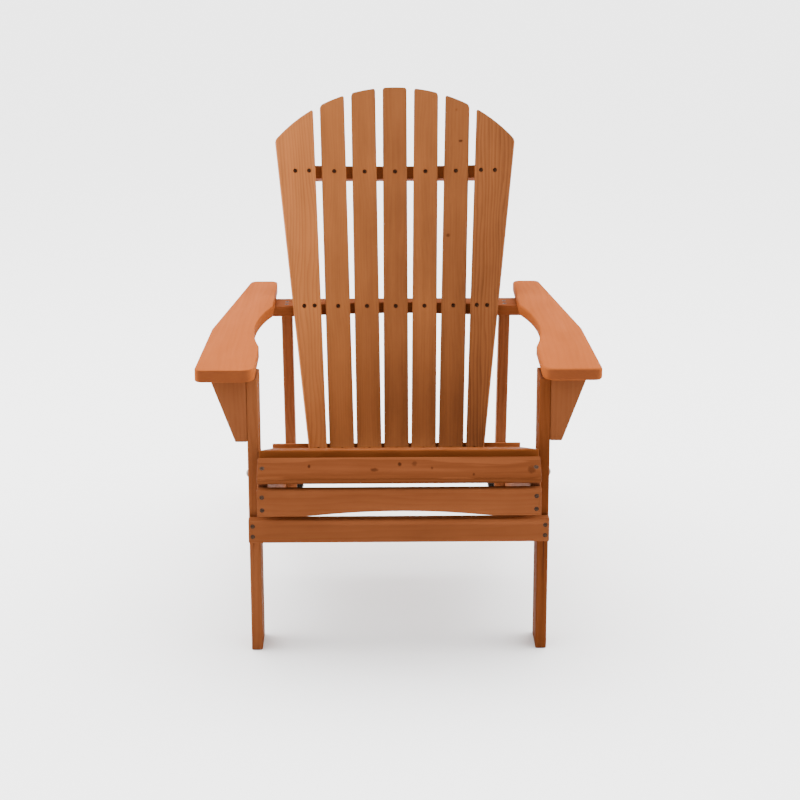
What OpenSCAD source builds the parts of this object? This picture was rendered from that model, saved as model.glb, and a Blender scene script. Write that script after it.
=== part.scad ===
// Adirondack garden chair in oiled hardwood: flat boards, a seat that slopes back between two
// long stringers, and a fan back whose seven slats stand in a hollow curve under an arched top.
// Frame: X to the sitter's left and right, Y towards the back, Z up, floor at Z = 0.
// The origin is on the floor, under the middle of the chair's length and width.

/* [Overall] */
// Width over the outer faces of the two stringers
seat_w = 520; // [440:1:620]
// Height of the front legs, up to the underside of the arms
leg_h = 539; // [500:1:600]
// Height of the seat at the front edge of the first slat
seat_front_z = 407; // [392:1:425]
// Slope of the seat, which is also how far the back leans from upright, in degrees
recline = 18.5; // [17:0.5:20]
// Depth of the seat along its slope, up to the middle slat of the back
seat_depth = 484; // [440:1:500]
// Height of the back along its slope, from the seat to the crown of the arch
back_h = 765; // [700:1:840]

/* [Boards] */
// Thickness of the legs
leg_t = 21; // [16:0.5:26]
// Depth of the legs from front to back
leg_d = 72; // [60:1:84]
// Thickness of the stringers
stringer_t = 18.5; // [16:0.5:24]
// Thickness of the seat and back slats
slat_t = 16; // [12:0.5:20]
// Radius worked along the edges of the boards
edge_r = 3; // [1:0.25:4]

/* [Stringers] */
// How far the stringers reach in front of the front legs
stringer_front = 62; // [50:1:75]
// Height of the lower corner at the front end
stringer_front_z = 303; // [290:1:312]
// Y of the rear end behind the front face of the legs
stringer_rear = 880; // [860:1:940]
// Size of the cut across the upper corner at the rear end
stringer_rear_cut = 16; // [5:1:40]

/* [Seat slats] */
// Width of the seat slats
seat_slat_w = 50; // [40:1:56]
// Smallest gap between two seat slats
seat_slat_gap = 8; // [5:1:12]
// Distance of the first slat's front edge in front of the legs
seat_front = 15; // [10:1:22]
// Width of the slat over the nose of the seat
nose_w = 51; // [46:1:54]
// Tilt of the nose slat, forward and down, in degrees
nose_tilt = 34; // [30:0.5:37]
// Distance of the nose slat's rear edge in front of the first slat
nose_gap = 24; // [22:1:27]
// Drop of the nose slat's rear edge below the first slat
nose_drop = 5; // [3:0.5:8]

/* [Front boards] */
// Thickness of the arched board and the stretcher
front_board_t = 20; // [16:0.5:24]
// Height of the arched board's lower edge at its ends
arch_board_z = 301.5; // [296:0.5:306]
// Width of the arched board at its ends
arch_board_w = 51; // [46:0.5:52]
// Rise of the arch under the board
arch_rise = 10; // [4:0.5:16]
// Length of the arch from end to end
arch_len = 344; // [280:1:420]
// Height of the stretcher's lower edge
stretcher_z = 225.5; // [120:0.5:230]
// Width of the stretcher across the legs
stretcher_w = 46.5; // [40:0.5:55]

/* [Arms] */
// Thickness of the arms
arm_t = 23; // [18:0.5:26]
// Overhang of the arms in front of the legs
arm_front = 18; // [10:1:30]
// Distance of the arms' rear end behind the front of the legs
arm_rear = 655; // [620:1:700]
// Distance of the arm's inner edge from the leg's inner face
arm_inset = 5; // [2:0.5:9]
// Greatest distance of the arm's outer edge from the leg's inner face
arm_reach = 114.5; // [95:0.5:135]
// Radius of the arm's inner front corner
arm_nose_r = 24; // [12:1:30]
// Radius of the arm's outer front corner
arm_corner_r = 15; // [8:1:24]
// Depth of the waist in the arm's inner edge
waist_d = 16; // [8:0.5:22]
// Distance of the waist's middle behind the front of the legs
waist_y = 275; // [240:1:310]
// Radius of the waist
waist_r = 550; // [450:5:700]
// Distance of the rear inner edge inside the leg's inner face
arm_tail_inset = 5.5; // [3:0.5:12]
// Distance of the bend in the outer edge behind the front of the legs
arm_bend_y = 268; // [220:1:320]
// How far the outer edge has drawn in at the bend
arm_bend_in = 10; // [2:0.5:16]
// How far the outer edge has drawn in at the rear end
arm_tail_in = 64; // [50:1:76]
// Radius of the two rear corners
arm_tail_r = 15; // [6:1:18]

/* [Arm brackets] */
// Thickness of the brackets under the arms
bracket_t = 20; // [14:0.5:26]
// Length of the bracket along the underside of the arm
bracket_top = 66; // [50:1:80]
// Width of the bracket at its lower end
bracket_foot = 22; // [12:1:30]
// Height of the bracket
bracket_h = 121; // [100:1:150]

/* [Fan back] */
// Radius of the hollow that the back slats stand in
hollow_r = 950; // [850:10:1200]
// Width of the five inner slats
back_slat_w = 51; // [44:0.5:52]
// Spacing of the slats at the level of the seat
fan_pitch = 57.8; // [56:0.2:60]
// Angle between two neighbouring slats, in degrees
fan_angle = 0.76; // [0.4:0.02:0.9]
// Width of the outer slats at the level of the seat
side_slat_w = 37; // [28:1:42]
// Growth of the outer slats' width, in millimetres per millimetre of height
side_slat_flare = 0.07; // [0.04:0.0025:0.08]
// Radius of the arch along the top of the back
crown_r = 340; // [320:1:380]

/* [Curved rails] */
// Thickness of the lower rail
lower_rail_t = 25; // [20:0.5:28]
// Thickness of the middle rail, under the arms
mid_rail_t = 21.5; // [18:0.5:26]
// Thickness of the upper rail
upper_rail_t = 27; // [20:0.5:30]
// Width of the board that the lower rail is sawn from
lower_rail_w = 54; // [50:1:64]
// Width of the boards that the middle and upper rails are sawn from
rail_w = 70; // [64:1:76]
// Wood left behind the hollow in the middle and upper rails
rail_web = 41; // [34:0.5:44]
// Wood left behind the hollow in the lower rail
lower_rail_web = 30; // [24:0.5:34]
// How far the middle rail reaches past the stringers at each end
mid_rail_reach = 40; // [34:1:46]
// Half the length of the upper rail
upper_rail_half = 225; // [205:1:230]
// Height of the upper rail's middle above the seat, along the back
upper_rail_h = 584; // [540:1:600]

/* [Rear posts] */
// Thickness of the rear posts
post_t = 22; // [16:0.5:24]
// Width of the rear posts
post_w = 45; // [36:0.5:46]
// Distance of the posts' front face behind the middle rail's front face
post_set = 9; // [6:0.5:10]
// Distance of the rear bolt behind the front of the legs
post_bolt_y = 645; // [620:1:660]
// Height of the rear bolt
post_bolt_z = 96; // [90:1:104]
// Length of the post below the bolt
post_tail = 26; // [20:1:30]

/* [Bolts] */
// Diameter of the bolts
bolt_d = 8; // [6:0.5:10]
// Diameter of the bolts' round heads
bolt_head_d = 17; // [15:0.5:20]
// Height of the bolts' round heads
bolt_head_h = 5.5; // [4:0.5:7]
// Distance of the front bolt behind the front of the legs
leg_bolt_y = 32; // [26:1:36]
// Height of the front bolt
leg_bolt_z = 346; // [330:1:352]
// Diameter of the washers
washer_d = 20; // [18:0.5:22]
// Thickness of the washers
washer_t = 1.5; // [1:0.25:2]
// Width of the cap nuts across the corners
nut_d = 15; // [14:0.5:17]
// Height of the cap nuts without their domes
nut_h = 7; // [6:0.5:9]

/* [Screws and dowels] */
// Diameter of the screws
screw_d = 4.5; // [3.5:0.25:5]
// Diameter of the screws' heads
screw_head_d = 8.6; // [8:0.2:9.4]
// Height of the screws' countersunk heads
screw_head_h = 3; // [2.5:0.25:3.5]
// Width of the slots in the screws' cross recess
screw_slot = 1.2; // [0.8:0.1:1.6]
// Depth that the back slats' screws are sunk below the wood
screw_sink = 2.5; // [1:0.25:4]
// Diameter of the dowels in the tops of the legs
dowel_d = 8; // [6:0.5:10]
// Depth of the dowels in the legs
dowel_depth = 24; // [16:1:32]
// Height of the dowels inside the arms
dowel_rise = 12; // [8:1:13]
// Play of screws and dowels in their holes, on the radius
screw_play = 0.1; // [0.05:0.05:0.2]
// Play of the bolts in their holes, on the radius
bolt_play = 0.25; // [0.15:0.05:0.4]
// Play between slats and what they stand beside
slat_play = 0.5; // [0.3:0.1:1]

/* [Hidden] */
$fn = 48;

// Finish of the pieces
leg_wood = "#9a5630";
board_wood = "#b27445";
arm_wood = "#d29a6c";
slat_wood = "#b97d4e";
steel = "#8a6f60";
dark_steel = "#4a3a30";

// Facets of the large arcs
arc_fn = 480;
// Overshoot of a cutting tool past the face that it opens
over = 1;
// Size of the tools that trim a piece to a plane
trim = 400;

// Faces of the frame across the chair
leg_in = seat_w / 2;
leg_out = leg_in + leg_t;
stringer_in = leg_in - stringer_t;
stringer_mid = leg_in - stringer_t / 2;

// Seat: heights above the seat are along the lean of the back
slope = tan(recline);
stringer_drop = slat_t / cos(recline);
lower_mid_h = lower_rail_t / 2 - slat_t;

// Nose slat: its rear upper edge
nose_y = -seat_front - nose_gap;
nose_z = seat_front_z - nose_drop;
nose_reach = (nose_w - edge_r) * cos(nose_tilt) - edge_r * sin(nose_tilt) + edge_r;

// Middle of the chair's length, from the nose slat or the arched board to the rear feet
front_y = min(nose_y - nose_reach, -stringer_front - front_board_t);
middle_y = (stringer_rear + front_y) / 2;

// Hollow of the back: its axis stands this far along the seat
hollow_t = seat_depth + slat_t;
axis_t = hollow_t - hollow_r;

// Fan back
slats_each_side = 3;
mid_rail_z = leg_h - mid_rail_t;
fan_level = (mid_rail_z + mid_rail_t / 2 - seat_front_z) / cos(recline)
    + (hollow_t + slat_t / 2) * slope;
mid_pitch = fan_pitch + fan_level * tan(fan_angle);
seat_w_side = fan_pitch * slats_each_side - back_slat_w / 2 + side_slat_w;

// Outer slats: where they bear on the hollow, and from there to their outer edge at the upper rail
side_bear = back_slat_w / 6;
side_slat_x = slats_each_side * mid_pitch + side_bear;
side_tip = seat_w_side - side_slat_x
    + upper_rail_h * (slats_each_side * tan(fan_angle) + side_slat_flare);

// Inner slats: half their width and how far the fan shifts them at the seat
inner_tip = back_slat_w / 2 + (slats_each_side - 1) * fan_level * tan(fan_angle);

// Seat slats fill the seat up to the outer back slats, which stand forward
side_bow = hollow_r - sqrt(pow(hollow_r, 2) - pow(seat_w_side, 2));
slat_run = seat_depth - side_bow - 2 * slat_play;
seat_slats = floor((slat_run + seat_slat_gap) / (seat_slat_w + seat_slat_gap));
seat_pitch = (slat_run - seat_slat_w) / (seat_slats - 1);

// Middle rail: its rear and front faces
mid_rail_rear = -seat_front + hollow_t * cos(recline) + rail_web
    + (mid_rail_z + mid_rail_t / 2 - seat_front_z + hollow_t * sin(recline)) * slope;
mid_rail_front = mid_rail_rear - rail_w;

// Rear posts lean from the bolt to the middle rail
post_y = mid_rail_front + post_set;
post_rise = mid_rail_z - post_bolt_z;
post_run = post_bolt_y - post_y;
post_len = sqrt(pow(post_rise, 2) + pow(post_run, 2));
post_lean = atan(post_run / post_rise) - asin(post_w / 2 / post_len);

// Rim of the screws' heads and length of the slots in them
screw_rim = screw_head_h / 6;
screw_slot_l = 0.6 * screw_head_d;

// Screw lengths and the distances of screws from ends and edges
slat_screw_l = 32;
board_screw_l = 40;
rail_screw_l = 42;
arm_screw_l = mid_rail_t + arm_t / 2;
side_screw_in = 14;
side_screw_share = 0.38;
board_screw_edge = 13;
leg_screw_in = 8;
rail_screw_step = 24;
post_screw_step = 20;
arm_screw_step = 22;
bracket_screw_top = 14;

// Height of the stringers' top edge
function stringer_top(y) = seat_front_z - stringer_drop - (y + seat_front) * slope;

// Height of the nose slat's underside
function nose_under(y) = nose_z - slat_t / cos(nose_tilt) + (y - nose_y) * tan(nose_tilt);

// Puts a piece that is drawn from the legs' front face into the chair's frame
module in_frame() {
    translate([0, -middle_y, 0])
        children();
}

// Draws on the seat: Y runs down its slope from the first slat, Z stands square to it
module on_seat() {
    translate([0, -seat_front, seat_front_z])
        rotate([-recline, 0, 0])
            children();
}

// Draws on the nose slat, from its rear upper edge
module on_nose() {
    translate([0, nose_y, nose_z])
        rotate([nose_tilt, 0, 0])
            children();
}

// Both sides of the chair, as one piece drawn for the sitter's right at +X
module both_sides() {
    for (side = [0, 1])
        mirror([side, 0, 0])
            children();
}

// Rectangle with worked corners, centred on X and Y
module eased(w, h, r = edge_r) {
    square([w - 2 * r, h], center = true);
    square([w, h - 2 * r], center = true);
    for (x = [-1, 1], y = [-1, 1])
        translate([x * (w / 2 - r), y * (h / 2 - r)])
            circle(r);
}

// Board across the chair: rear upper edge on the X axis, so wide and so thick
module cross_board(half, w, t) {
    translate([-half, -w / 2, -t / 2])
        rotate([90, 0, 90])
            linear_extrude(2 * half)
                eased(w, t);
}

// Countersunk screw that points down, its head flush at Z = 0
module screw(len) {
    difference() {
        rotate_extrude()
            polygon([
                [0, 0],
                [screw_head_d / 2, 0],
                [screw_head_d / 2, -screw_rim],
                [screw_d / 2, -screw_head_h],
                [screw_d / 2, -len + screw_d],
                [0, -len]
            ]);
        for (a = [0, 90])
            rotate(a)
                cube([screw_slot_l, screw_slot, screw_head_h], center = true);
    }
}

// Hole for such a screw, open upwards by its sink
module screw_hole(len, sink = 0) {
    rotate_extrude()
        polygon([
            [0, sink + over],
            [screw_head_d / 2 + screw_play, sink + over],
            [screw_head_d / 2 + screw_play, -screw_rim],
            [screw_d / 2 + screw_play, -screw_head_h],
            [screw_d / 2 + screw_play, -len + screw_d],
            [0, -len - 2 * screw_play]
        ]);
}

// ---- Where the fasteners go ----

// Two screws in a row along Y
module pair(step) {
    for (s = [-1, 1])
        translate([0, s * step / 2, 0])
            children();
}

// Seat slats: one screw at each end, down into the stringers
module at_seat_screws(i) {
    both_sides()
        on_seat()
            translate([stringer_mid, (i - 1) * seat_pitch + seat_slat_w / 2, 0])
                children();
}

// Nose slat: one screw at each end
module at_nose_screws() {
    both_sides()
        on_nose()
            translate([stringer_mid, -nose_w / 2, 0])
                children();
}

// Arched board: two screws at each end, back into the stringers
module at_arch_screws() {
    both_sides()
        for (z = [board_screw_edge, arch_board_w - board_screw_edge])
            translate([stringer_mid, -stringer_front - front_board_t, arch_board_z + z])
                rotate([90, 0, 0])
                    children();
}

// Stretcher: two screws at each end, back into the legs
module at_stretcher_screws() {
    both_sides()
        for (z = [board_screw_edge, stretcher_w - board_screw_edge])
            translate([leg_out - leg_screw_in, -front_board_t, stretcher_z + z])
                rotate([90, 0, 0])
                    children();
}

// Brackets: two screws from inside the leg
module at_bracket_screws() {
    both_sides()
        for (z = [bracket_screw_top, bracket_h - 2 * bracket_screw_top])
            translate([leg_in, bracket_t / 2, leg_h - z])
                rotate([0, -90, 0])
                    children();
}

// Middle rail: two screws down into the top of each post
module at_post_screws() {
    both_sides()
        translate([stringer_in - post_t / 2, post_y + post_w / 2, leg_h])
            pair(post_screw_step)
                children();
}

// Lower rail: two screws down into each stringer
module at_lower_screws() {
    both_sides()
        on_seat()
            translate([stringer_mid, hollow_t + lower_rail_web - lower_rail_w / 2, lower_rail_t - slat_t])
                pair(rail_screw_step)
                    children();
}

// Arms: two screws at each side, up through the middle rail
module at_arm_screws() {
    both_sides()
        for (x = [0, arm_screw_step])
            translate([leg_in + x + screw_d, mid_rail_rear - rail_w / 2, mid_rail_z])
                rotate([180, 0, 0])
                    children();
}

// Dowels between the legs and the arms
module at_dowels() {
    both_sides()
        translate([leg_in + leg_t / 2, leg_d / 2, leg_h])
            pair(leg_d / 2)
                children();
}

// Front bolts, pointing inwards from the outer face of the legs
module at_leg_bolts() {
    both_sides()
        translate([leg_out, leg_bolt_y, leg_bolt_z])
            rotate([0, 90, 0])
                children();
}

// Rear bolts, pointing inwards from the outer face of the stringers
module at_post_bolts() {
    both_sides()
        translate([leg_in, post_bolt_y, post_bolt_z])
            rotate([0, 90, 0])
                children();
}

// Hole through the wood of a bolt that points down
module bolt_hole() {
    translate([0, 0, -leg_t - stringer_t - post_t])
        cylinder(r = bolt_d / 2 + bolt_play, h = leg_t + stringer_t + post_t + over);
}

// ---- Frame ----

// Front leg, a plain upright board
module leg() {
    color(leg_wood)
        in_frame()
            difference() {
                translate([leg_in + leg_t / 2, leg_d / 2, 0])
                    linear_extrude(leg_h)
                        eased(leg_t, leg_d);
                at_leg_bolts()
                    bolt_hole();
                at_stretcher_screws()
                    screw_hole(board_screw_l);
                at_bracket_screws()
                    screw_hole(board_screw_l);
                at_dowels()
                    translate([0, 0, -dowel_depth])
                        cylinder(r = dowel_d / 2 + screw_play, h = dowel_depth + over);
            }
}

// Outline of the stringer from the side, as X = Y and Y = Z
module stringer_outline() {
    crest = (seat_front_z - stringer_drop - seat_front * slope - nose_under(0))
        / (tan(nose_tilt) + slope);
    cut = stringer_rear - stringer_rear_cut;
    polygon([
        [-stringer_front, stringer_front_z],
        [-stringer_front, nose_under(-stringer_front)],
        [crest, stringer_top(crest)],
        [cut, stringer_top(cut)],
        [stringer_rear, stringer_top(stringer_rear) - stringer_rear_cut],
        [stringer_rear, 0],
        [stringer_front_z / slope - stringer_front, 0]
    ]);
}

// Stringer: carries the seat and runs down to the floor as the rear foot
module stringer() {
    color(leg_wood)
        in_frame()
            difference() {
                translate([stringer_in, 0, 0])
                    rotate([90, 0, 90])
                        linear_extrude(stringer_t)
                            stringer_outline();
                at_leg_bolts()
                    bolt_hole();
                at_post_bolts()
                    bolt_hole();
                for (i = [1:seat_slats])
                    at_seat_screws(i)
                        screw_hole(board_screw_l);
                at_nose_screws()
                    screw_hole(board_screw_l);
                at_arch_screws()
                    screw_hole(board_screw_l);
                at_lower_screws()
                    screw_hole(rail_screw_l);
            }
}

// Rear post: leans from the rear bolt up to the middle rail
module post() {
    color(leg_wood)
        in_frame()
            difference() {
                translate([stringer_in - post_t / 2, post_bolt_y, post_bolt_z])
                    rotate([post_lean, 0, 0])
                        translate([0, 0, -post_tail])
                            linear_extrude(post_len + post_tail + post_w)
                                eased(post_t, post_w);
                translate([0, 0, mid_rail_z])
                    linear_extrude(trim)
                        translate([0, post_y])
                            square(2 * trim, center = true);
                at_post_bolts()
                    bolt_hole();
                at_post_screws()
                    screw_hole(rail_screw_l);
            }
}

// Stretcher across the front of the legs
module stretcher() {
    color(board_wood)
        in_frame()
            difference() {
                translate([0, -front_board_t / 2, stretcher_z + stretcher_w / 2])
                    rotate([90, 0, 90])
                        linear_extrude(2 * leg_out, center = true)
                            eased(front_board_t, stretcher_w);
                at_stretcher_screws()
                    screw_hole(board_screw_l);
            }
}

// Board under the nose of the seat, with a shallow arch along its lower edge
module arch_board() {
    arch_r = (pow(arch_len / 2, 2) + pow(arch_rise, 2)) / (2 * arch_rise);
    color(board_wood)
        in_frame()
            difference() {
                translate([0, -stringer_front - front_board_t / 2, arch_board_z + arch_board_w / 2])
                    rotate([90, 0, 90])
                        linear_extrude(2 * leg_in, center = true)
                            eased(front_board_t, arch_board_w);
                translate([0, over - stringer_front, arch_board_z + arch_rise - arch_r])
                    rotate([90, 0, 0])
                        cylinder(r = arch_r, h = front_board_t + 2 * over, $fn = 4 * arc_fn);
                at_arch_screws()
                    screw_hole(board_screw_l);
            }
}

// ---- Arms ----

// Outline of the arm from above, drawn outwards from the leg's inner face
module arm_outline() {
    tail_x = arm_reach - arm_tail_in;
    draw_in = (arm_tail_in - arm_bend_in) / (arm_rear - arm_bend_y);
    tail_y = arm_rear - arm_tail_r;
    tail_angle = atan(draw_in);
    corner_x = tail_x + arm_tail_r * draw_in - arm_tail_r / cos(tail_angle);
    difference() {
        union() {
            polygon([
                [arm_inset + arm_nose_r, -arm_front],
                [arm_reach - arm_corner_r, -arm_front],
                [arm_reach, arm_corner_r - arm_front],
                [arm_reach - arm_bend_in, arm_bend_y],
                [corner_x + arm_tail_r * cos(tail_angle), tail_y + arm_tail_r * sin(tail_angle)],
                [corner_x, arm_rear],
                [arm_tail_r - arm_tail_inset, arm_rear],
                [-arm_tail_inset, tail_y],
                [-arm_tail_inset, waist_y],
                [arm_inset, waist_y],
                [arm_inset, arm_nose_r - arm_front]
            ]);
            translate([arm_inset + arm_nose_r, arm_nose_r - arm_front])
                circle(arm_nose_r);
            translate([arm_reach - arm_corner_r, arm_corner_r - arm_front])
                circle(arm_corner_r);
            translate([corner_x, tail_y])
                circle(arm_tail_r);
            translate([arm_tail_r - arm_tail_inset, tail_y])
                circle(arm_tail_r);
        }
        translate([arm_inset + waist_d - waist_r, waist_y])
            circle(waist_r, $fn = arc_fn);
    }
}

// Arm: wide in front, waisted inside, drawn in to a narrow tail on the middle rail
module arm() {
    color(arm_wood)
        in_frame()
            difference() {
                translate([leg_in, 0, leg_h])
                    linear_extrude(arm_t)
                        arm_outline();
                at_dowels()
                    translate([0, 0, -over])
                        cylinder(r = dowel_d / 2 + screw_play, h = dowel_rise + over + screw_play);
                at_arm_screws()
                    screw_hole(arm_screw_l);
            }
}

// Bracket under the arm, against the outer face of the leg
module bracket() {
    color(leg_wood)
        in_frame()
            difference() {
                translate([leg_out, bracket_t, leg_h])
                    rotate([90, 0, 0])
                        linear_extrude(bracket_t)
                            polygon([
                                [0, 0],
                                [bracket_top, 0],
                                [bracket_foot, -bracket_h],
                                [0, -bracket_h]
                            ]);
                at_bracket_screws()
                    screw_hole(board_screw_l);
            }
}

// ---- Seat ----

// Seat slat number i, counted from the front
module seat_slat(i) {
    color(slat_wood)
        in_frame()
            difference() {
                on_seat()
                    translate([0, (i - 1) * seat_pitch + seat_slat_w, 0])
                        cross_board(leg_in - slat_play, seat_slat_w, slat_t);
                at_seat_screws(i)
                    screw_hole(board_screw_l);
            }
}

// Slat over the nose of the seat
module nose_slat() {
    color(board_wood)
        in_frame()
            difference() {
                on_nose()
                    cross_board(leg_in, nose_w, slat_t);
                at_nose_screws()
                    screw_hole(board_screw_l);
            }
}

// ---- Fan back ----

// The hollow that the back slats stand in: a cylinder that leans with the back
module hollow() {
    on_seat()
        translate([0, axis_t, -trim])
            cylinder(r = hollow_r, h = back_h + 2 * trim, $fn = arc_fn);
}

// Stands a piece on the hollow at slat number i, from -3 to 3, its back face at Y = 0
module at_slat(i) {
    outer = abs(i) == slats_each_side;
    x = outer ? sign(i) * side_slat_x : i * mid_pitch;
    half = outer ? side_tip : inner_tip;
    on_seat()
        translate([0, axis_t, 0])
            rotate(-asin(x / hollow_r))
                translate([i * mid_pitch - x, sqrt(pow(hollow_r - screw_play, 2) - pow(half, 2)), fan_level])
                    rotate([0, i * fan_angle, 0])
                        translate([0, 0, -fan_level])
                            children();
}

// Long board with its back face at Y = 0, between X = x0 and x0 + w
module slat_bar(x0, w) {
    translate([x0 + w / 2, -slat_t / 2, -trim / 2])
        linear_extrude(back_h + trim)
            eased(w, slat_t);
}

// Outer slat for +X: straight inside, flaring outside
module side_bar() {
    intersection() {
        slat_bar(-back_slat_w / 2, trim);
        translate([side_slat_w - back_slat_w / 2, 0, 0])
            rotate([0, atan(side_slat_flare), 0])
                slat_bar(-trim, trim);
    }
}

// Space that the slats fill, with the arch of the crown on top
module crown() {
    on_seat()
        translate([0, hollow_t + slat_t, 0])
            rotate([90, 0, 0])
                linear_extrude(trim) {
                    translate([0, back_h - crown_r])
                        circle(crown_r, $fn = arc_fn);
                    translate([-crown_r, -slat_t])
                        square([2 * crown_r, back_h - crown_r + slat_t]);
                }
}

// Screws of slat number i: two in an outer slat at the middle and upper rails, one elsewhere
module at_slat_screws(i, levels = [lower_mid_h, fan_level, upper_rail_h]) {
    outer = abs(i) == slats_each_side;
    at_slat(i)
        mirror([i < 0 ? 1 : 0, 0, 0])
            for (level = levels) {
                w = side_slat_w + side_slat_flare * level;
                first = level == lower_mid_h ? w / 2 : side_screw_in;
                xs = !outer ? [0] : level == lower_mid_h ? [first] : [first, first + side_screw_share * w];
                for (x = xs)
                    translate([outer ? x - back_slat_w / 2 : 0, screw_sink - slat_t, level])
                        rotate([90, 0, 0])
                            children();
            }
}

// Back slat number i, from -3 at the left to 3 at the right
module back_slat(i) {
    color(slat_wood)
        in_frame()
            difference() {
                intersection() {
                    at_slat(i)
                        if (abs(i) == slats_each_side)
                            mirror([i < 0 ? 1 : 0, 0, 0])
                                side_bar();
                        else
                            slat_bar(-back_slat_w / 2, back_slat_w);
                    crown();
                }
                at_slat_screws(i)
                    screw_hole(slat_screw_l, screw_sink);
            }
}

// Cuts the hollow and the slats' screw holes out of the rail at that level
module hollowed(level) {
    difference() {
        children();
        hollow();
        for (i = [-slats_each_side:slats_each_side])
            at_slat_screws(i, [level])
                screw_hole(slat_screw_l);
    }
}

// Lower rail: lies flat on the stringers behind the seat
module lower_rail() {
    color(board_wood)
        in_frame()
            difference() {
                hollowed(lower_mid_h)
                    on_seat()
                        translate([0, hollow_t + lower_rail_web, lower_rail_t - slat_t])
                            cross_board(leg_in, lower_rail_w, lower_rail_t);
                at_lower_screws()
                    screw_hole(rail_screw_l);
            }
}

// Middle rail: level, under the tails of the arms and on the posts
module middle_rail() {
    color(board_wood)
        in_frame()
            difference() {
                hollowed(fan_level)
                    translate([0, mid_rail_rear, leg_h])
                        cross_board(leg_in + mid_rail_reach, rail_w, mid_rail_t);
                at_post_screws()
                    screw_hole(rail_screw_l);
                at_arm_screws()
                    screw_hole(arm_screw_l);
            }
}

// Upper rail: square to the slats, behind them all
module upper_rail() {
    color(board_wood)
        in_frame()
            hollowed(upper_rail_h)
                on_seat()
                    translate([0, hollow_t + rail_web, upper_rail_h + upper_rail_t / 2])
                        cross_board(upper_rail_half, rail_w, upper_rail_t);
}

// ---- Fasteners, one node for each kind ----

// Screws of the back slats
module back_slat_screws() {
    color(dark_steel)
        in_frame()
            for (i = [-slats_each_side:slats_each_side])
                at_slat_screws(i)
                    screw(slat_screw_l);
}

// Screws of the seat slats and the nose slat
module seat_slat_screws() {
    color(dark_steel)
        in_frame() {
            for (i = [1:seat_slats])
                at_seat_screws(i)
                    screw(board_screw_l);
            at_nose_screws()
                screw(board_screw_l);
        }
}

// Screws of the arched board and the stretcher
module front_board_screws() {
    color(dark_steel)
        in_frame() {
            at_arch_screws()
                screw(board_screw_l);
            at_stretcher_screws()
                screw(board_screw_l);
        }
}

// Screws of the brackets
module bracket_screws() {
    color(dark_steel)
        in_frame()
            at_bracket_screws()
                screw(board_screw_l);
}

// Screws of the lower rail and the posts
module rail_screws() {
    color(dark_steel)
        in_frame() {
            at_lower_screws()
                screw(rail_screw_l);
            at_post_screws()
                screw(rail_screw_l);
        }
}

// Screws of the arms
module arm_screws() {
    color(dark_steel)
        in_frame()
            at_arm_screws()
                screw(arm_screw_l);
}

// Dowels in the tops of the legs
module arm_dowels() {
    color(arm_wood)
        in_frame()
            at_dowels()
                translate([0, 0, -dowel_depth])
                    cylinder(d = dowel_d, h = dowel_depth + dowel_rise);
}

// Round-headed bolt that points down, through so much wood
module bolt(grip) {
    ball_r = (pow(bolt_head_d / 2, 2) + pow(bolt_head_h, 2)) / (2 * bolt_head_h);
    intersection() {
        translate([0, 0, bolt_head_h - ball_r])
            sphere(ball_r);
        cylinder(d = bolt_head_d, h = bolt_head_h);
    }
    translate([0, 0, -grip - washer_t - nut_h])
        cylinder(d = bolt_d, h = grip + washer_t + nut_h);
}

// Two bolts through the legs and two through the posts
module bolts() {
    color(steel)
        in_frame() {
            at_leg_bolts()
                bolt(leg_t + stringer_t);
            at_post_bolts()
                bolt(stringer_t + post_t);
        }
}

// Washer under a nut, below so much wood
module washer(grip) {
    translate([0, 0, -grip - washer_t])
        difference() {
            cylinder(d = washer_d, h = washer_t);
            translate([0, 0, -over])
                cylinder(r = bolt_d / 2 + bolt_play, h = washer_t + 2 * over);
        }
}

// Washers of the four bolts
module washers() {
    color(steel)
        in_frame() {
            at_leg_bolts()
                washer(leg_t + stringer_t);
            at_post_bolts()
                washer(stringer_t + post_t);
        }
}

// Cap nut, below so much wood and a washer
module cap_nut(grip) {
    dome_r = nut_d / 2 * cos(30);
    translate([0, 0, -grip - washer_t])
        difference() {
            union() {
                translate([0, 0, -nut_h])
                    cylinder(d = nut_d, h = nut_h, $fn = 6);
                intersection() {
                    translate([0, 0, -nut_h])
                        sphere(dome_r);
                    translate([0, 0, -nut_h - dome_r])
                        cylinder(r = dome_r, h = dome_r + over);
                }
            }
            translate([0, 0, -nut_h - bolt_play])
                cylinder(r = bolt_d / 2 + bolt_play / 2, h = nut_h + over);
        }
}

// Cap nuts of the four bolts
module cap_nuts() {
    color(steel)
        in_frame() {
            at_leg_bolts()
                cap_nut(leg_t + stringer_t);
            at_post_bolts()
                cap_nut(stringer_t + post_t);
        }
}

// A piece of one side: as drawn at +X, or mirrored to -X
module left_side() {
    mirror([1, 0, 0])
        children();
}

left_side() leg();  // leg_left
leg();  // leg_right
left_side() bracket();  // bracket_left
bracket();  // bracket_right
left_side() arm();  // arm_left
arm();  // arm_right
left_side() stringer();  // stringer_left
stringer();  // stringer_right
left_side() post();  // post_left
post();  // post_right
stretcher();
arch_board();
nose_slat();
lower_rail();
middle_rail();
upper_rail();
for (i = [1:seat_slats])
    seat_slat(i);
for (i = [1:2 * slats_each_side + 1])
    back_slat(i - 1 - slats_each_side);
back_slat_screws();
seat_slat_screws();
front_board_screws();
bracket_screws();
rail_screws();
arm_screws();
arm_dowels();
bolts();
washers();
cap_nuts();
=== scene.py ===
import itertools
import math

import bmesh
import bpy
import numpy as np
from mathutils import Matrix, Vector


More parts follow.
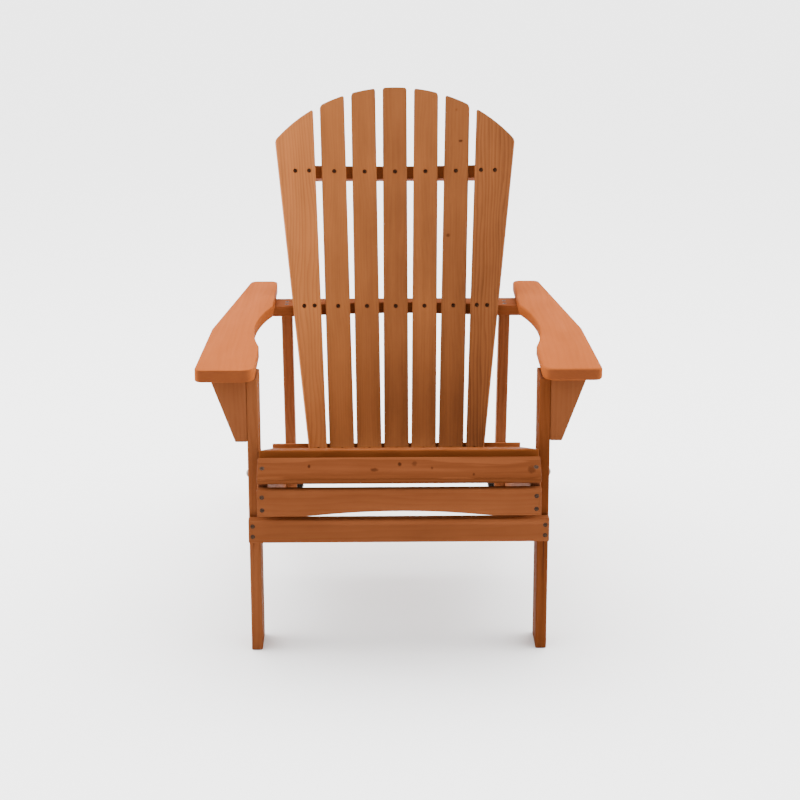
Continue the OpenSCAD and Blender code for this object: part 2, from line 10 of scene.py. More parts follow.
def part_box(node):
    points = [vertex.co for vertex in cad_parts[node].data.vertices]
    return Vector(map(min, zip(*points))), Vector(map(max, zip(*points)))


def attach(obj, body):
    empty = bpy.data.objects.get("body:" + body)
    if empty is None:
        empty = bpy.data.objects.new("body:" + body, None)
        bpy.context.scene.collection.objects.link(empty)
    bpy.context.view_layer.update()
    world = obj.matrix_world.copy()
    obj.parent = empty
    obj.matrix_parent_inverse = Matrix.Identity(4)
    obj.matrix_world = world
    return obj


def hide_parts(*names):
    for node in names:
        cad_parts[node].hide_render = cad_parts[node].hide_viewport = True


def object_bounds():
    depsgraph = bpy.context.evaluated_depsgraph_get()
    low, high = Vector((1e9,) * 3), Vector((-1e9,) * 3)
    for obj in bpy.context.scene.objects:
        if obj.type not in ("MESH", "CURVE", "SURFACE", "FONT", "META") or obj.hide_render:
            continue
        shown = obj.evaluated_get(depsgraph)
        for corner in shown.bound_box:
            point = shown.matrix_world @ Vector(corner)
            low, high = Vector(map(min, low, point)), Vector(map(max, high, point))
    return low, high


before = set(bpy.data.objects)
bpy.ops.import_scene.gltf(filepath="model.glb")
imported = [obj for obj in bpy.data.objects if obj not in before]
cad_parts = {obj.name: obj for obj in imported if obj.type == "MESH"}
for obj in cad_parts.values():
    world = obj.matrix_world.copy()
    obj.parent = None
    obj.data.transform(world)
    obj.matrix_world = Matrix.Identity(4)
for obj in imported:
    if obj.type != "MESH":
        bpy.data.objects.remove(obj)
cad_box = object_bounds()

# ---- Front legs -------------------------------------------------------------
# Two upright boards of oiled wood that stand on their sawn ends and carry the arms. All their
# edges are eased.

UP = Vector((0, 0, 1))
BACK = Vector((0, 1, 0))
LEG_EASE = 0.002
# points closer than this are one point
WELD = 2e-6
# edges that turn more than this are edges of the board, and not part of a curve
EDGE_TURN = math.radians(35)
# the outline of a screw hole is smaller than this
HOLE_REACH = 0.03
# each board comes from its own place in the log, far along it and a little deeper than the last,
# and has its own tone
LOG_STEP = 3.7
DEPTH_STEP, DEPTH_ROOM = 0.037, 0.03
TONE_STEP = 0.618
board_numbers = itertools.count(1)


def ease_edges(mesh, radius):
    """Rounds a board's own edges. Small rings of edges are screw holes, and stay sharp."""
    work = bmesh.new()
    work.from_mesh(mesh)
    bmesh.ops.remove_doubles(work, verts=work.verts, dist=WELD)
    flat = math.radians(0.4)
    bmesh.ops.dissolve_limit(work, angle_limit=flat, verts=work.verts, edges=work.edges)
    low = [min(v.co[k] for v in work.verts) for k in range(3)]
    high = [max(v.co[k] for v in work.verts) for k in range(3)]
    edges = [e for e in work.edges if e.is_manifold and e.calc_face_angle() > EDGE_TURN]
    # a dict and not a set, so that the rings are found in the same order each time
    sharp, rounded = dict.fromkeys(edges), []
    while sharp:
        ring, rim = [], [sharp.popitem()[0]]
        while rim:
            edge = rim.pop()
            ring.append(edge)
            for end in edge.verts:
                for other in end.link_edges:
                    if other in sharp:
                        del sharp[other]
                        rim.append(other)
        spots = [v.co for e in ring for v in e.verts]
        reach = max(max(p[k] for p in spots) - min(p[k] for p in spots) for k in range(3))
        if reach > HOLE_REACH:
            rounded += ring
    bmesh.ops.bevel(
        work, geom=rounded, offset=radius, segments=3, profile=0.5, affect="EDGES",
        clamp_overlap=True, material=-1,
    )
    # a worked edge never stands outside the board
    for v in work.verts:
        v.co = [min(max(v.co[k], low[k]), high[k]) for k in range(3)]
    bmesh.ops.recalc_face_normals(work, faces=work.faces)
    work.to_mesh(mesh)
    work.free()


def smooth(mesh):
    """Soft over the worked edges, crisp elsewhere."""
    mesh.shade_smooth()
    mesh.set_sharp_from_angle(angle=EDGE_TURN)


def lay_grain(mesh, along, across, number=None, origin=(0, 0, 0), tones=None):
    """Gives every point its place in the plank that it was sawn from: along, across, through.

    The directions, number and tone are those of one board, or one for each point where the
    mesh holds several boards.
    """
    points = np.empty(len(mesh.vertices) * 3)
    mesh.vertices.foreach_get("co", points)
    points = points.reshape(-1, 3) - np.array(origin)
    along = np.broadcast_to(np.array(along), points.shape)
    across = np.broadcast_to(np.array(across), points.shape)
    if number is None:
        number = next(board_numbers)
    number = np.broadcast_to(np.asarray(number, float), len(points))
    through = np.cross(along, across)
    plank = np.stack([(points * axis).sum(1) for axis in (along, across, through)], axis=1)
    plank[:, 0] += number * LOG_STEP
    plank[:, 2] += (number * DEPTH_STEP) % DEPTH_ROOM
    mark = mesh.attributes.new("plank", "FLOAT_VECTOR", "POINT")
    mark.data.foreach_set("vector", plank.ravel())
    fibre = mesh.attributes.new("fibre", "FLOAT_VECTOR", "POINT")
    fibre.data.foreach_set("vector", along.ravel())
    tone = mesh.attributes.new("tone", "FLOAT", "POINT")
    tone.data.foreach_set("value", (number * TONE_STEP) % 1.0 if tones is None else tones)


def wire(tree, node, **wires):
    """Wires or sets a node's inputs. Names match the sockets, and _2 is the third socket."""
    for key, value in wires.items():
        spot = node.inputs[int(key[1:]) if key[0] == "_" else key.replace("_", " ")]
        if isinstance(value, Amount):
            value = value.socket
        if isinstance(value, bpy.types.NodeSocket):
            tree.links.new(value, spot)
        else:
            spot.default_value = value
    return node


def joined(tree, kind, settings=None, **wires):
    """A new node with its settings made and its inputs wired."""
    made = tree.nodes.new(kind)
    for key, value in (settings or {}).items():
        setattr(made, key, value)
    return wire(tree, made, **wires)


class Amount:
    """A number that a socket of a tree carries, with plain arithmetic."""

    def __init__(self, tree, socket):
        self.tree, self.socket = tree, socket

    def work(self, operation, *values):
        """The result of an operation on some values."""
        wires = {f"_{k}": value for k, value in enumerate(values)}
        made = joined(self.tree, "ShaderNodeMath", {"operation": operation}, **wires)
        return Amount(self.tree, made.outputs[0])

    def to(self, operation, *others):
        """This amount put through an operation."""
        return self.work(operation, self, *others)

    def __add__(self, other):
        return self.work("ADD", self, other)

    def __sub__(self, other):
        return self.work("SUBTRACT", self, other)

    def __rsub__(self, other):
        return self.work("SUBTRACT", other, self)

    def __mul__(self, other):
        return self.work("MULTIPLY", self, other)

    def __truediv__(self, other):
        return self.work("DIVIDE", self, other)


def amounts(tree, node):
    """The outputs of a node as amounts, by name."""
    return {socket.name: Amount(tree, socket) for socket in node.outputs}


def parts(tree, vector):
    """The X, Y and Z of a vector as amounts."""
    return amounts(tree, joined(tree, "ShaderNodeSeparateXYZ", _0=vector)).values()


def band(tree, value, low, high, out_low=0.0, out_high=1.0):
    """Smooth step from out_low to out_high."""
    step = joined(
        tree, "ShaderNodeMapRange", {"interpolation_type": "SMOOTHSTEP"},
        _0=value, _1=low, _2=high, _3=out_low, _4=out_high,
    )
    return Amount(tree, step.outputs[0])


def noise(tree, vector, scale, detail, roughness=0.5):
    """Noise at a place, about 0 to 1."""
    made = joined(
        tree, "ShaderNodeTexNoise", Vector=vector, Scale=scale, Detail=detail, Roughness=roughness
    )
    return Amount(tree, made.outputs[0])


def mixed(tree, share, first, second):
    """The first colour, with a share of the second."""
    made = joined(tree, "ShaderNodeMix", {"data_type": "RGBA"}, _0=share, _6=first, _7=second)
    return made.outputs[2]


def group_ends(tree, takes, gives):
    """Makes a group's sockets and returns its input and output nodes."""
    for name, kind, value in takes:
        made = tree.interface.new_socket(name, in_out="INPUT", socket_type=kind)
        if value is not None:
            made.default_value = value
    for name, kind in gives:
        tree.interface.new_socket(name, in_out="OUTPUT", socket_type=kind)
    return tree.nodes.new("NodeGroupInput"), tree.nodes.new("NodeGroupOutput")


def sawn_wood():
    """Group: colour, roughness and relief of a sawn, oiled board."""
    tree = bpy.data.node_groups.new("Sawn wood", "ShaderNodeTree")
    takes, gives = group_ends(
        tree,
        [("Light", "NodeSocketColor", (0.5, 0.3, 0.2, 1)),
         ("Dark", "NodeSocketColor", (0.3, 0.1, 0.05, 1)),
         ("Rings", "NodeSocketFloat", 0.3), ("Ring width", "NodeSocketFloat", 0.006),
         ("Streaks", "NodeSocketFloat", 0.5), ("Clouds", "NodeSocketFloat", 0.4)],
        [("Color", "NodeSocketColor"), ("Roughness", "NodeSocketFloat"),
         ("Height", "NodeSocketFloat")],
    )
    value = amounts(tree, takes)

    def carried(name, output):
        """What lay_grain has stored on the board."""
        return joined(tree, "ShaderNodeAttribute", {"attribute_name": name}).outputs[output]

    def stretched(x, y, z):
        """The place in the plank, stretched along the grain."""
        settings = {"operation": "MULTIPLY"}
        return joined(tree, "ShaderNodeVectorMath", settings, _0=plank, _1=(x, y, z)).outputs[0]

    plank = carried("plank", "Vector")
    tone = Amount(tree, carried("tone", "Fac"))

    # growth rings round a pith that lies behind the face and wanders along the board
    pith_depth, pith_wander, ring_waves = 0.035, 0.07, 1.6
    drift = noise(tree, stretched(1.0, 3.0, 3.0), 2.2, 2.0)
    flow = noise(tree, stretched(0.7, 9.0, 9.0), 6.0, 3.0)
    _, side, depth = parts(tree, plank)
    side = side + (drift - 0.5) * pith_wander
    depth = depth + pith_depth
    far = (side * side + depth * depth).to("SQRT")
    turn = (far / value["Ring width"] + flow * ring_waves).to("FRACT")
    late = band(tree, turn, 0.25, 0.86) * band(tree, turn, 0.88, 0.98, 1.0, 0.0)

    # fibres, streaks and clouds in the stain
    plain_shade, fibre_share, tone_share = 0.36, 0.22, 0.22
    fibre = noise(tree, stretched(9.0, 420.0, 420.0), 1.0, 3.0, 0.6)
    streak = noise(tree, stretched(1.1, 34.0, 34.0), 1.6, 4.0, 0.6)
    cloud = noise(tree, stretched(1.0, 2.4, 2.4), 7.0, 3.0, 0.55)
    shade = late * value["Rings"]
    for amount, share in (
        (streak, value["Streaks"]), (cloud, value["Clouds"]), (fibre, fibre_share),
        (tone, tone_share),
    ):
        shade = shade + (amount - 0.5) * share
    shade = joined(tree, "ShaderNodeClamp", _0=shade + plain_shade).outputs[0]
    colour = mixed(tree, shade, takes.outputs["Light"], takes.outputs["Dark"])

    # sawn ends drink more oil
    end_colour, end_share = (0.042, 0.017, 0.012, 1), 0.45
    facing = joined(
        tree, "ShaderNodeVectorMath", {"operation": "DOT_PRODUCT"}, _0=carried("fibre", "Vector"),
        _1=joined(tree, "ShaderNodeNewGeometry").outputs["Normal"],
    )
    facing = Amount(tree, facing.outputs["Value"]).to("ABSOLUTE")
    colour = mixed(tree, band(tree, facing, 0.55, 0.95, 0.0, end_share), colour, end_colour)
    roughness = band(tree, shade, 0.0, 1.0, 0.45, 0.62)
    wire(tree, gives, Color=colour, Roughness=roughness, Height=fibre - late * 0.5)
    return tree


WOOD = sawn_wood()


def wood(name, light, dark, rings=0.3, width=0.006, streaks=0.5, clouds=0.4, knots=()):
    """An oiled wood of this chair, from its light and dark tones.

    Each knot has a place, a size, how upright it is, and how dark it is.
    """
    material = bpy.data.materials.new(name)
    material.use_nodes = True
    tree = material.node_tree
    board = joined(
        tree, "ShaderNodeGroup", {"node_tree": WOOD}, Light=(*light, 1), Dark=(*dark, 1),
        Rings=rings, Ring_width=width, Streaks=streaks, Clouds=clouds,
    )
    colour = board.outputs["Color"]
    heart = [value * 0.22 for value in dark]
    for place, size, stretch, strength in knots:
        settings = {"node_tree": KNOT}
        spot = joined(tree, "ShaderNodeGroup", settings, Place=place, Size=size, Stretch=stretch)
        colour = mixed(tree, Amount(tree, spot.outputs[0]) * strength, colour, (*heart, 1))
    bump = joined(
        tree, "ShaderNodeBump", Height=board.outputs["Height"], Strength=0.08, Distance=0.0006
    )
    wire(
        tree, tree.nodes["Principled BSDF"], Base_Color=colour, Normal=bump.outputs[0],
        Roughness=board.outputs["Roughness"], Specular_IOR_Level=0.003,
    )
    return material


def worked_board(node, material, along, across, radius):
    """The board of a CAD node with its edges eased, its grain laid and its finish on."""
    mesh = bpy.data.objects[node].data.copy()
    ease_edges(mesh, radius)
    smooth(mesh)
    lay_grain(mesh, along, across)
    mesh.materials.clear()
    mesh.materials.append(material)
    piece = bpy.data.objects.new("wood." + node, mesh)
    bpy.context.scene.collection.objects.link(piece)
    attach(piece, "root")
    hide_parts(node)


left_wood = wood(
    "Left leg wood", (0.188, 0.060, 0.021), (0.100, 0.029, 0.009), rings=0.15, streaks=0.5
)
right_wood = wood(
    "Right leg wood", (0.133, 0.037, 0.011), (0.062, 0.015, 0.004), rings=0.15, streaks=0.6
)
for node, finish in (("leg_left", left_wood), ("leg_right", right_wood)):
    worked_board(node, finish, UP, BACK, LEG_EASE)

# ---- Stringers and rear posts -----------------------------------------------
# Two long boards carry the seat and run down to the floor as the rear feet. The posts lean
# from them up to the middle rail of the back.

SLOPE = math.radians(18.5)
STRINGER_EASE = 0.003
# about how wide a leaning post is, measured level
POST_W = 0.05
ACROSS = Vector((1, 0, 0))
down_seat = Vector((0, math.cos(SLOPE), -math.sin(SLOPE)))
up_back = Vector((0, math.sin(SLOPE), math.cos(SLOPE)))
frame_wood = wood("Stringer wood", (0.216, 0.068, 0.025), (0.110, 0.031, 0.010), rings=0.2)
for node in ("stringer_left", "stringer_right"):
    worked_board(node, frame_wood, down_seat, up_back, STRINGER_EASE)
low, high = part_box("post_right")
post_line = Vector((0, high.y - low.y - POST_W, low.z - high.z)).normalized()
for node in ("post_left", "post_right"):
    worked_board(node, frame_wood, post_line, post_line.cross(ACROSS), LEG_EASE)

# ---- Stretcher and arched board ---------------------------------------------
# A plain board across the front of the legs, and above it, under the nose of the seat, a board
# with a shallow arch sawn along its lower edge.

STRETCHER_EASE = 0.0015
ARCH_EASE = 0.0025
board_wood = wood(
    "Front board wood", (0.178, 0.055, 0.019), (0.088, 0.025, 0.008), rings=0.1, streaks=0.4,
    clouds=0.6,
)
worked_board("stretcher", board_wood, ACROSS, UP, STRETCHER_EASE)
worked_board("arch_board", board_wood, ACROSS, UP, ARCH_EASE)

# ---- Seat slats -------------------------------------------------------------
# Equal slats with eased edges, laid side by side down the slope of the seat. Their screws sit in
# shallow holes at both ends.

SLAT_W = 0.050
SLAT_T = 0.016
SLAT_EASE = 0.003
HOLE_R = 0.0046
SEAT_HOLE_DEPTH = 0.0032
# points this near the end of a screw belong to the face of its head
HEAD_FACE = 2e-4


def fixings(node):
    """Place and direction of every screw in a CAD node: the middle of its head, and outwards."""
    work = bmesh.new()
    work.from_mesh(bpy.data.objects[node].data)
    bmesh.ops.remove_doubles(work, verts=work.verts, dist=WELD)
    left, found = dict.fromkeys(work.verts), []
    while left:
        solid, rim = [], [left.popitem()[0]]
        while rim:
            vertex = rim.pop()
            solid.append(vertex.co.copy())
            for edge in vertex.link_edges:
                other = edge.other_vert(vertex)
                if other in left:
                    del left[other]
                    rim.append(other)
        spots = np.array(solid)
        middle = (spots.max(0) + spots.min(0)) / 2
        axis = np.linalg.svd(spots - spots.mean(0))[2][0]
        reach = (spots - middle) @ axis
        wide = np.linalg.norm((spots - middle) - np.outer(reach, axis), axis=1)
        # the widest ring is the rim of the head
        if reach[wide.argmax()] < 0:
            axis, reach = -axis, -reach
        head = spots[reach > reach.max() - HEAD_FACE]
        found.append((Vector(head.mean(0)), Vector(axis)))
    work.free()
    return found


def plain_mesh(piece):
    """Works the piece's modifiers into its mesh."""
    seen = piece.evaluated_get(bpy.context.evaluated_depsgraph_get())
    mesh = bpy.data.meshes.new_from_object(seen)
    piece.modifiers.clear()
    old = piece.data
    piece.data = mesh
    bpy.data.meshes.remove(old)


def geometry_tree(name, takes):
    """An empty Geometry Nodes tree with named inputs and its two end nodes."""
    tree = bpy.data.node_groups.new(name, "GeometryNodeTree")
    ends = group_ends(tree, takes, [("Geometry", "NodeSocketGeometry")])
    return tree, *ends


def grow(name, tree, start=None, **values):
    """A new object made by a tree, with the tree's inputs set by identifier."""
    piece = bpy.data.objects.new(name, start or bpy.data.meshes.new(name))
    bpy.context.scene.collection.objects.link(piece)
    maker = piece.modifiers.new("Make", "NODES")
    maker.node_group = tree
    for item in tree.interface.items_tree:
        key = item.name.replace(" ", "_")
        if item.in_out == "INPUT" and key in values:
            maker[item.identifier] = values[key]
    plain_mesh(piece)
    return piece


def points_of(name, spots):
    """Loose points with the direction of each in the attribute 'aim'."""
    mesh = bpy.data.meshes.new(name)
    mesh.from_pydata([place for place, _ in spots], [], [])
    aim = mesh.attributes.new("aim", "FLOAT_VECTOR", "POINT")
    aim.data.foreach_set("vector", [value for _, axis in spots for value in axis])
    return mesh


def copies(tree, points, shape, **turned):
    """One real copy of the shape at each point."""
    laid = joined(tree, "GeometryNodeInstanceOnPoints", Points=points, Instance=shape, **turned)
    return joined(tree, "GeometryNodeRealizeInstances", Geometry=laid.outputs[0]).outputs[0]


def copies_along_aim(tree, points, shape):
    """One real copy of the shape at each point, turned so that its Z follows 'aim'."""
    aim = joined(
        tree, "GeometryNodeInputNamedAttribute", {"data_type": "FLOAT_VECTOR"}, Name="aim"
    )
    turn = joined(tree, "FunctionNodeAlignRotationToVector", {"axis": "Z"}, Vector=aim.outputs[0])
    return copies(tree, points, shape, Rotation=turn.outputs[0])


def given_out(tree, gives, shape, finish):
    """Ends a tree: its shape, with its finish on."""
    done = joined(tree, "GeometryNodeSetMaterial", Geometry=shape, Material=finish)
    wire(tree, gives, Geometry=done.outputs[0])
    return tree


def drill_tree():
    """Tree: a drill bit at each screw, to cut the holes."""
    tree, takes, gives = geometry_tree(
        "Drill bits",
        [("Geometry", "NodeSocketGeometry", None), ("Radius", "NodeSocketFloat", 0.004),
         ("Depth", "NodeSocketFloat", 0.004), ("Material", "NodeSocketMaterial", None)],
    )
    value = amounts(tree, takes)
    bit = joined(
        tree, "GeometryNodeMeshCylinder", Vertices=20, Radius=value["Radius"],
        Depth=value["Depth"] * 2.0,
    )
    bits = copies_along_aim(tree, value["Geometry"], bit.outputs[0])
    return given_out(tree, gives, bits, value["Material"])


DRILL = drill_tree()
# a much darker wood for the screw holes and dowels: painted shade of the recesses
hole_shade_wood = wood("Hole wood", (0.085, 0.024, 0.007), (0.045, 0.012, 0.003), rings=0.1)


def drill(piece, spots, depth):
    """Cuts a round hole into the piece at each screw, lined with darker wood as painted shade."""
    start = points_of("bits", spots)
    bits = grow("bits", DRILL, start, Radius=HOLE_R, Depth=depth, Material=hole_shade_wood)
    cutter = piece.modifiers.new("Drill", "BOOLEAN")
    cutter.operation, cutter.solver, cutter.object = "DIFFERENCE", "EXACT", bits
    plain_mesh(piece)
    bpy.data.objects.remove(bits)


def slat_row_tree():
    """Tree: a row of equal slats, each with its length along X."""
    tree, takes, gives = geometry_tree(
        "Slat row",
        [("Slats", "NodeSocketInt", 8), ("Size", "NodeSocketVector", (0.5, 0.05, 0.016)),
         ("Pitch", "NodeSocketFloat", 0.06), ("Wood", "NodeSocketMaterial", None)],
    )
    value = amounts(tree, takes)
    slat = joined(tree, "GeometryNodeMeshCube", Size=value["Size"], Vertices_X=12)
    step = joined(tree, "ShaderNodeCombineXYZ", Y=value["Pitch"])
    row = joined(tree, "GeometryNodeMeshLine", Count=value["Slats"], Offset=step.outputs[0])
    slats = copies(tree, row.outputs[0], slat.outputs[0])
    return given_out(tree, gives, slats, value["Wood"])


SLAT_ROW = slat_row_tree()


def laid_slats(name, place, screws, **values):
    """Slats of the seat at their place, with worked edges and drilled for their screws."""
    slats = grow(name, SLAT_ROW, **values)
    edge = slats.modifiers.new("Edges", "BEVEL")
    edge.width, edge.segments, edge.limit_method = SLAT_EASE, 4, "ANGLE"
    edge.angle_limit = math.radians(40)
    plain_mesh(slats)
    slats.data.transform(place)
    drill(slats, screws, SEAT_HOLE_DEPTH)
    smooth(slats.data)
    return slats


SEAT_SLATS = 8
# the board numbers of the seat start here
SEAT_BOARD = 40
first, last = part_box("seat_slat_1"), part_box(f"seat_slat_{SEAT_SLATS}")
slat_pitch = (last[0].y - first[0].y) / (SEAT_SLATS - 1) / math.cos(SLOPE)
slat_len = first[1].x - first[0].x
first_middle = (first[0] + first[1]) / 2
seat_place = Matrix.Translation(first_middle) @ Matrix.Rotation(-SLOPE, 4, "X")
seat_screws = fixings("seat_slat_screws")
# the heads of the nose's screws face forward, the others face up
on_nose = [spot for spot in seat_screws if spot[1].y < 0]
on_seat = [spot for spot in seat_screws if spot[1].y >= 0]
seat_wood = wood(
    "Flat slat wood", (0.152, 0.043, 0.011), (0.078, 0.020, 0.005), rings=0.2, streaks=0.6
)
seat = laid_slats(
    "wood.seat_slats", seat_place, on_seat, Slats=SEAT_SLATS, Size=(slat_len, SLAT_W, SLAT_T),
    Pitch=slat_pitch, Wood=seat_wood,
)
seat_points = np.array([v.co for v in seat.data.vertices])
down = (seat_points - np.array(first_middle)) @ np.array(down_seat)
which = np.round(down / slat_pitch)
lay_grain(seat.data, ACROSS, down_seat, number=SEAT_BOARD + which)
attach(seat, "root")
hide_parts(*[f"seat_slat_{k + 1}" for k in range(SEAT_SLATS)])

# ---- Nose slat --------------------------------------------------------------
# One more slat that tilts forward over the front edge of the seat. It is sawn from a piece with
# clear rings and a few small sound knots.

NOSE_TILT = math.radians(34)
NOSE_W = 0.051


def knot():
    """Group: a small sound knot at one place on the board, darkest in its heart."""
    tree = bpy.data.node_groups.new("Knot", "ShaderNodeTree")
    takes, gives = group_ends(
        tree,
        [("Place", "NodeSocketVector", (0, 0, 0)), ("Size", "NodeSocketFloat", 0.004),
         ("Stretch", "NodeSocketFloat", 0.6)],
        [("Mask", "NodeSocketFloat")],
    )
    value = amounts(tree, takes)
    # a knot runs on into the board, and its outline is ragged
    depth_share, ragged = 0.3, 0.9
    here = joined(tree, "ShaderNodeTexCoord").outputs["Object"]
    away = joined(
        tree, "ShaderNodeVectorMath", {"operation": "SUBTRACT"}, _0=here, _1=value["Place"]
    )
    aside, deep, tall = parts(tree, away.outputs[0])
    aside = aside * value["Stretch"]
    deep = deep * depth_share
    far = (aside * aside + tall * tall + deep * deep).to("SQRT") / value["Size"]
    far = far + (noise(tree, here, 260.0, 2.0) - 0.5) * ragged
    wire(tree, gives, Mask=band(tree, far, 0.35, 1.15, 1.0, 0.0))
    return tree


KNOT = knot()
low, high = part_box("nose_slat")
nose_middle = (low + high) / 2
nose_place = Matrix.Translation(nose_middle) @ Matrix.Rotation(NOSE_TILT, 4, "X")
# each knot: across and up the face, then as wood() takes it
nose_knots = [
    (tuple(nose_place @ Vector((x, y, SLAT_T / 2))), size, stretch, strength)
    for x, y, size, stretch, strength in (
        (-0.165, 0.004, 0.0030, 0.90, 0.75),
        (-0.046, -0.004, 0.0030, 0.35, 0.60),
        (0.001, 0.008, 0.0032, 0.80, 0.80),
        (0.028, 0.009, 0.0042, 0.70, 0.45),
        (0.060, -0.001, 0.0022, 0.90, 0.55),
        (0.136, -0.016, 0.0024, 0.90, 0.60),
        (0.242, -0.006, 0.0060, 0.70, 0.50),
    )
]
nose_wood = wood(
    "Nose slat wood", (0.138, 0.042, 0.014), (0.064, 0.017, 0.005), rings=0.35, width=0.008,
    streaks=0.6, knots=nose_knots,
)
nose = laid_slats(
    "wood.nose_slat", nose_place, on_nose, Slats=1, Size=(high.x - low.x, NOSE_W, SLAT_T),
    Wood=nose_wood,
)
up_nose = Vector((0, math.cos(NOSE_TILT), math.sin(NOSE_TILT)))
lay_grain(nose.data, ACROSS, up_nose, origin=nose_middle)
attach(nose, "root")
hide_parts("nose_slat")

# ---- Rails of the back ------------------------------------------------------
# Three rails, each with a hollow front edge that the slats lie in. The lower one, behind the seat,
# is narrower. The middle one is level, the others stand square to the slats.

RAIL_EASE = 0.0025
rail_wood = wood("Rail wood", (0.200, 0.056, 0.018), (0.090, 0.022, 0.006), rings=0.1)
for node, across in (("lower_rail", down_seat), ("middle_rail", BACK), ("upper_rail", down_seat)):
    worked_board(node, rail_wood, ACROSS, across, RAIL_EASE)

# ---- Fan back ---------------------------------------------------------------
# Seven flat slats stand in the hollow of the rails, so that the row is concave, and spread
# like a fan. The outer two flare outwards. All are sawn to one arch along the top.

SLATS_EACH_SIDE = 3
BACK_SLAT_W = 0.051
BACK_SLAT_EASE = 0.0028
BACK_HOLE_DEPTH = 0.0035
TOP_CORNER = 0.005
HOLLOW_R = 0.950
# a flat slat touches the hollow with its edges, so its middle stands forward of it
SLAT_STAND = 0.0007
SIDE_SLAT_STAND = 0.0010
# the slats are this far apart, middle to middle, at this height on them
SLAT_PITCH = 0.06175
PITCH_LEVEL = 0.29783
FAN_TURN = math.radians(0.76)
# the outer two: where they stand in the hollow, how wide they are at the seat, and how much wider
# they grow for each metre up
SIDE_SLAT_X = 0.19375
SIDE_FOOT_W = 0.037
SIDE_FLARE = 0.070
# the arch along the top, and how high above the seat it reaches
CROWN_R = 0.340
CROWN_H = 0.765
# down the slope, from the front of the flat slats to the front of the back
SEAT_DEPTH = 0.484
# the board number of the middle slat
BACK_BOARD = 60


def fan_back_tree():
    """Tree: the slats of the back from the rule of the hollow, the fan and the arch.

    Every slat starts as a fine block of size 1. Its number counts from the middle slat.
    """
    tree, takes, gives = geometry_tree(
        "Fan of slats",
        [("Slats each side", "NodeSocketInt", 3), ("Width", "NodeSocketFloat", 0.05),
         ("Thickness", "NodeSocketFloat", 0.016), ("Pitch", "NodeSocketFloat", 0.058),
         ("Fan", "NodeSocketFloat", 0.01), ("Hollow radius", "NodeSocketFloat", 0.95),
         ("Pitch level", "NodeSocketFloat", 0.3), ("Foot", "NodeSocketFloat", -0.016),
         ("Side width", "NodeSocketFloat", 0.033), ("Side flare", "NodeSocketFloat", 0.066),
         ("Side place", "NodeSocketFloat", 0.19), ("Crown radius", "NodeSocketFloat", 0.340),
         ("Crown height", "NodeSocketFloat", 0.765), ("Corner", "NodeSocketFloat", 0.005),
         ("Wood", "NodeSocketMaterial", None)],
    )
    value = amounts(tree, takes)
    each_side, width, thickness = value["Slats each side"], value["Width"], value["Thickness"]
    foot, corner, hollow = value["Foot"], value["Corner"], value["Hollow radius"]
    crown, crown_top = value["Crown radius"], value["Crown height"]

    # one block for each slat, with the slat's number on its points
    count = each_side * 2.0 + 1.0
    places = joined(tree, "GeometryNodeMeshLine", Count=count, Offset=(0, 0, 0))
    index = Amount(tree, joined(tree, "GeometryNodeInputIndex").outputs[0])
    numbered = joined(
        tree, "GeometryNodeStoreNamedAttribute", {"data_type": "FLOAT", "domain": "POINT"},
        Geometry=places.outputs[0], Name="slat", Value=index - each_side,
    )
    block = joined(
        tree, "GeometryNodeMeshCube", Size=(1, 1, 1), Vertices_X=41, Vertices_Y=2, Vertices_Z=14
    )
    blocks = copies(tree, numbered.outputs[0], block.outputs[0])
    slat = joined(tree, "GeometryNodeInputNamedAttribute", {"data_type": "FLOAT"}, Name="slat")
    slat = Amount(tree, slat.outputs[0])
    here = joined(tree, "GeometryNodeInputPosition").outputs[0]
    u, w, up = parts(tree, here)
    up = up + 0.5
    side = slat.to("SIGN")
    outer = slat.to("ABSOLUTE").to("GREATER_THAN", each_side - 0.5)
    inner = 1.0 - outer

    def wide(level):
        """Width of the slat at a height on it: the outer two grow upwards."""
        flared = value["Side width"] + value["Side flare"] * level
        return width * inner + flared * outer

    def across(level):
        """Distance of this point of the slat from the chair's middle, at a height on it."""
        centre = slat * (value["Pitch"] + value["Fan"] * (level - value["Pitch level"]))
        # an outer slat keeps its inner edge on the fan and grows outwards
        here_wide = wide(level)
        outwards = (here_wide - width) * 0.5 * side
        return centre + outwards + u * here_wide

    # the top lies on the arch, which is found in a few steps because the slat leans
    arch_middle = crown_top - crown
    tip = crown_top
    for _ in range(4):
        aside = across(tip)
        inside = crown * crown - aside * aside
        tip = arch_middle + inside.to("MAXIMUM", 0.0).to("SQRT")
    # the two top corners of every slat are rounded
    near = (0.5 - u.to("ABSOLUTE")) * wide(tip)
    past = corner - near.to("MINIMUM", corner)
    left = corner * corner - past * past
    tip = tip - (corner - left.to("MAXIMUM", 0.0).to("SQRT"))

    # the slat stands at its place in the hollow and is turned to face the middle of the curve
    level = foot + up * (tip - foot)
    place = side * value["Side place"] * outer + slat * value["Pitch"] * inner
    beside = across(level) - place
    turn = (place / hollow).to("ARCSINE")
    stand = outer * SIDE_SLAT_STAND + SLAT_STAND
    deep = hollow - stand + (w - 0.5) * thickness
    x = deep * turn.to("SINE") + beside * turn.to("COSINE")
    y = deep * turn.to("COSINE") - beside * turn.to("SINE")
    spot = joined(tree, "ShaderNodeCombineXYZ", X=x, Y=y - hollow, Z=level)
    shaped = joined(tree, "GeometryNodeSetPosition", Geometry=blocks, Position=spot.outputs[0])
    return given_out(tree, gives, shaped.outputs[0], value["Wood"])


seat_front = seat_place @ Vector((0, -SLAT_W / 2, SLAT_T / 2))
back_place = Matrix.Translation(seat_front) @ Matrix.Rotation(-SLOPE, 4, "X")
back_place = back_place @ Matrix.Translation((0, SEAT_DEPTH + SLAT_T, 0))


def on_back(x, level):
    """A place on the front of the back slats."""
    bow = HOLLOW_R - math.sqrt(HOLLOW_R**2 - x**2)
    return tuple(back_place @ Vector((x, -bow - SLAT_T, level)))


